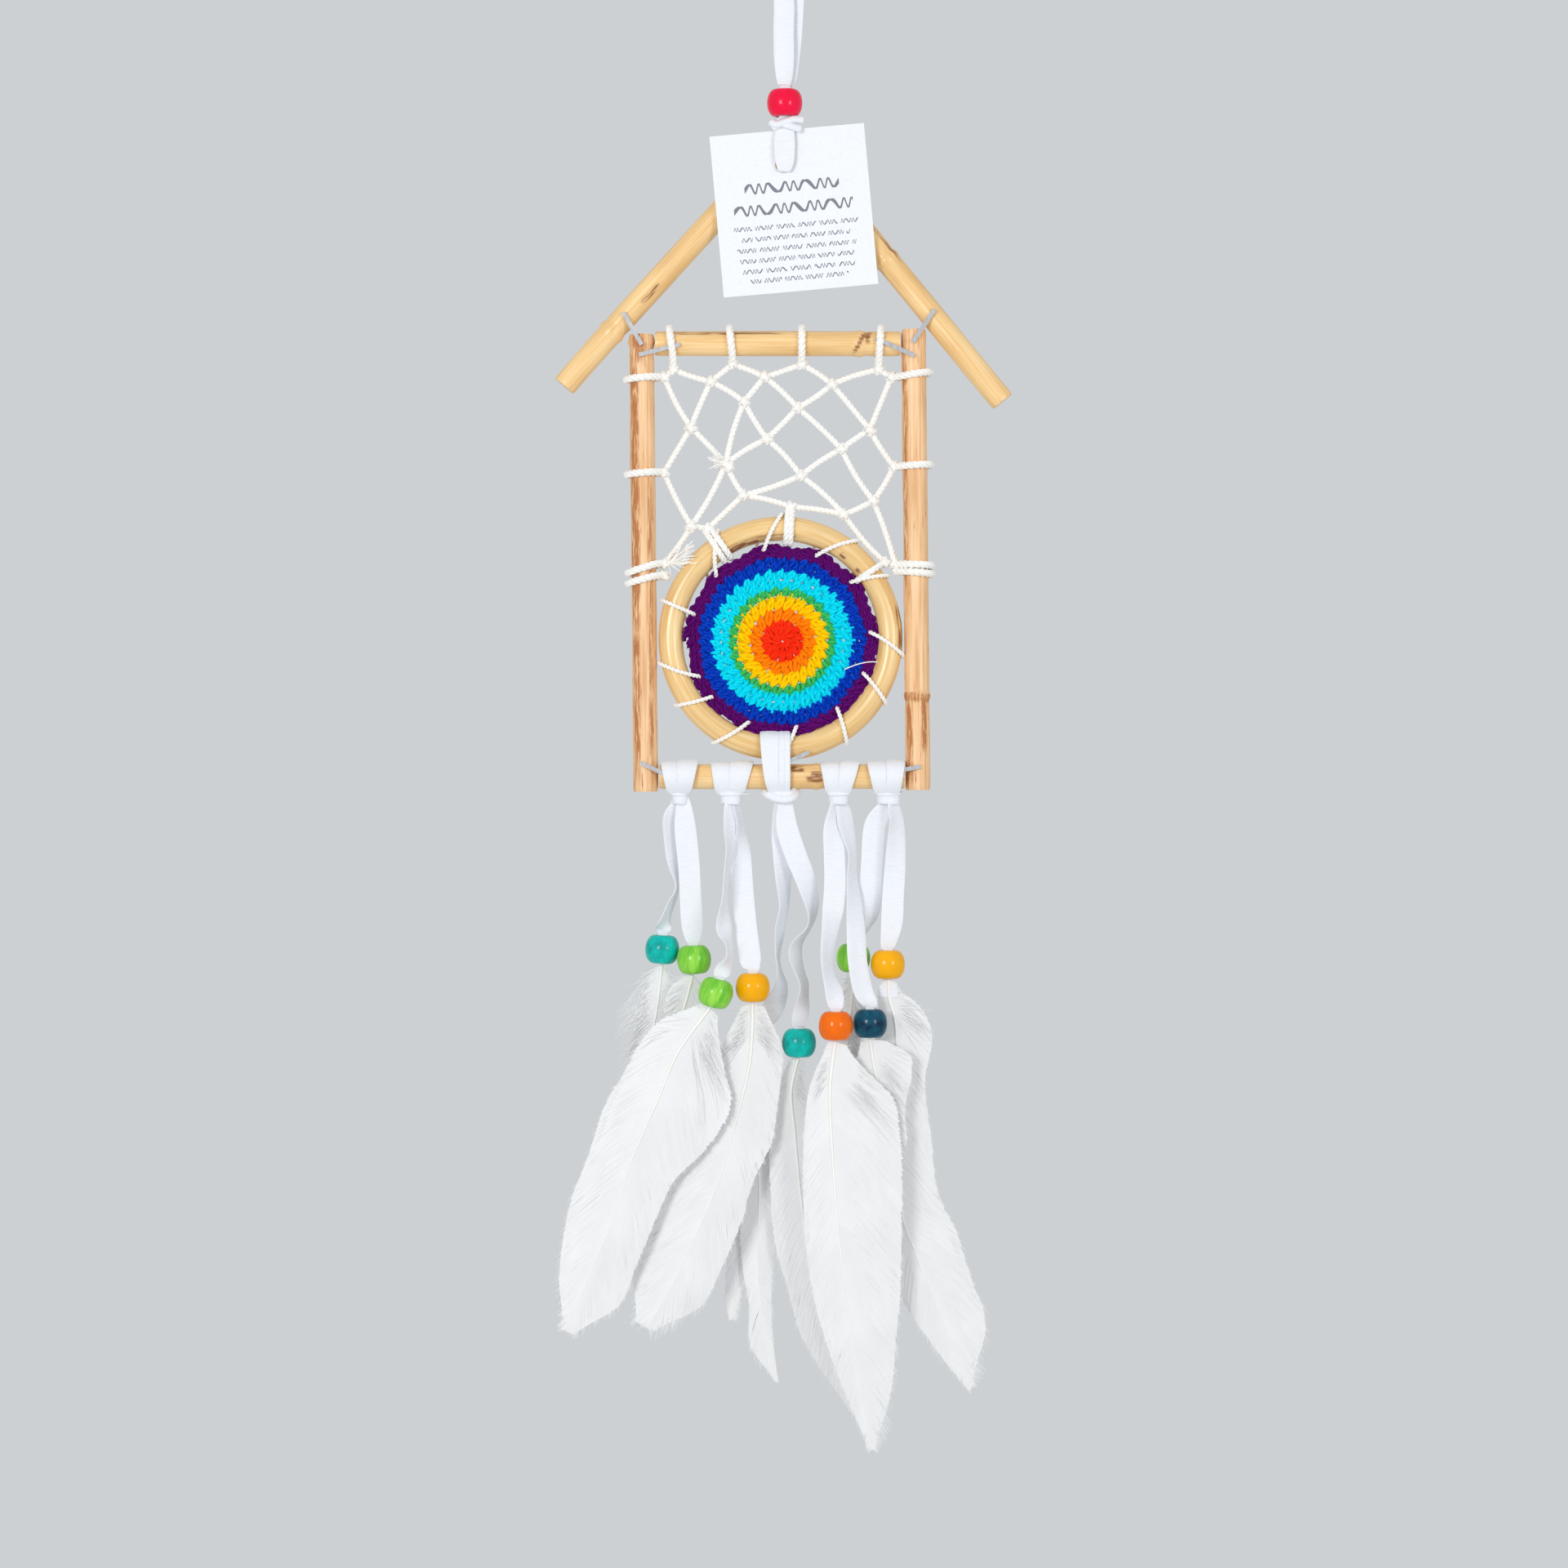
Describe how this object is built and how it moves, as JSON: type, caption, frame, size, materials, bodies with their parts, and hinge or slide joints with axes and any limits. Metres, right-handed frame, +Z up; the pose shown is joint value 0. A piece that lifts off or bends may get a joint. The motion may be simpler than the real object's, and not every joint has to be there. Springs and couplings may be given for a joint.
{
  "type": "dream catcher",
  "caption": "House-shaped hanging dream catcher of cane sticks with a cotton web, a rainbow crochet disc in a hoop, a paper tag, and ribbon tails ending in beads and feathers.",
  "frame": {"origin": "inside top of the hanging loop, where it rests on a hook or nail", "axes": "+Z up, +X to the right seen from the front, -Y towards the viewer, so the sticks lie in the XZ plane"},
  "size_m": [0.1302, 0.0234, 0.4407],
  "materials": {
    "cane": "varnished",
    "post_wood": "satin",
    "steel": "bright",
    "cotton": "matte",
    "crochet": "matte",
    "tape": "matte",
    "card": "matte",
    "feather": "silky",
    "paint_red": "gloss paint",
    "paint_teal": "gloss paint",
    "paint_green": "gloss paint",
    "paint_yellow": "gloss paint",
    "paint_orange": "gloss paint",
    "paint_dark_teal": "gloss paint"
  },
  "bodies": {
    "frame": {"roof_stick_left": "cane", "roof_stick_right": "cane", "post_left": "post_wood", "post_right": "post_wood", "top_bar": "cane", "bottom_bar": "cane", "cane_hoop": "cane", "crochet_disc": "crochet", "hoop_lashing": "cotton", "web_cord": "cotton", "staple_apex": "steel", "staple_roof_left": "steel", "staple_roof_right": "steel", "staple_top_left": "steel", "staple_top_right": "steel", "staple_bottom_left": "steel", "staple_bottom_right": "steel", "staple_hoop": "steel", "hanging_ribbon": "tape", "ribbon_hitch_3": "tape"},
    "tag": {"tag_card": "card"},
    "top_bead": {"bead_red": "paint_red"},
    "hitch_1": {"ribbon_hitch_1": "tape", "ribbon_tail_02": "tape", "bead_02": "paint_green", "feather_02": "feather"},
    "pendant_01": {"ribbon_tail_01": "tape", "bead_01": "paint_teal", "feather_01": "feather"},
    "hitch_2": {"ribbon_hitch_2": "tape", "ribbon_tail_04": "tape", "bead_04": "paint_yellow", "feather_04": "feather"},
    "pendant_03": {"ribbon_tail_03": "tape", "bead_03": "paint_green", "feather_03": "feather"},
    "pendant_06": {"ribbon_tail_06": "tape", "bead_06": "paint_teal", "feather_06": "feather"},
    "pendant_05": {"ribbon_tail_05": "tape", "bead_05": "paint_orange", "feather_05": "feather"},
    "hitch_4": {"ribbon_hitch_4": "tape", "ribbon_tail_08": "tape", "bead_08": "paint_dark_teal", "feather_08": "feather"},
    "pendant_07": {"ribbon_tail_07": "tape", "bead_07": "paint_orange", "feather_07": "feather"},
    "hitch_5": {"ribbon_hitch_5": "tape", "ribbon_tail_09": "tape", "bead_09": "paint_yellow", "feather_09": "feather"},
    "pendant_10": {"ribbon_tail_10": "tape", "bead_10": "paint_green", "feather_10": "feather"}
  },
  "joints": [
    {"name": "tag_turn", "type": "hinge", "parent": "frame", "child": "tag", "pos_m": [0, -0.00515, -0.0735], "axis": [0, -1, 0], "range_deg": [-15, 15]},
    {"name": "top_bead_slide", "type": "slide", "parent": "frame", "child": "top_bead", "axis": [0, 0, 1], "range_m": [0, 0.012]},
    {"name": "hitch_1_swing", "type": "hinge", "parent": "frame", "child": "hitch_1", "pos_m": [-0.0296, 0, -0.2476], "axis": [1, 0, 0], "range_deg": [0, 60]},
    {"name": "pendant_01_swing", "type": "hinge", "parent": "hitch_1", "child": "pendant_01", "pos_m": [-0.0296, 0, -0.2539], "axis": [1, 0, 0], "range_deg": [0, 30]},
    {"name": "hitch_2_swing", "type": "hinge", "parent": "frame", "child": "hitch_2", "pos_m": [-0.0145, 0, -0.2476], "axis": [-1, 0, 0], "range_deg": [0, 60]},
    {"name": "pendant_03_swing", "type": "hinge", "parent": "hitch_2", "child": "pendant_03", "pos_m": [-0.0145, 0, -0.2539], "axis": [-1, 0, 0], "range_deg": [0, 30]},
    {"name": "pendant_06_swing", "type": "hinge", "parent": "frame", "child": "pendant_06", "pos_m": [0.0002, 0, -0.2539], "axis": [1, 0, 0], "range_deg": [0, 60]},
    {"name": "pendant_05_swing", "type": "hinge", "parent": "pendant_06", "child": "pendant_05", "pos_m": [0.0002, 0, -0.2539], "axis": [1, 0, 0], "range_deg": [0, 30]},
    {"name": "hitch_4_swing", "type": "hinge", "parent": "frame", "child": "hitch_4", "pos_m": [0.0161, 0, -0.2476], "axis": [-1, 0, 0], "range_deg": [0, 60]},
    {"name": "pendant_07_swing", "type": "hinge", "parent": "hitch_4", "child": "pendant_07", "pos_m": [0.0161, 0, -0.2539], "axis": [-1, 0, 0], "range_deg": [0, 30]},
    {"name": "hitch_5_swing", "type": "hinge", "parent": "frame", "child": "hitch_5", "pos_m": [0.0301, 0, -0.2476], "axis": [1, 0, 0], "range_deg": [0, 60]},
    {"name": "pendant_10_swing", "type": "hinge", "parent": "hitch_5", "child": "pendant_10", "pos_m": [0.0301, 0, -0.2539], "axis": [1, 0, 0], "range_deg": [0, 30]}
  ]
}
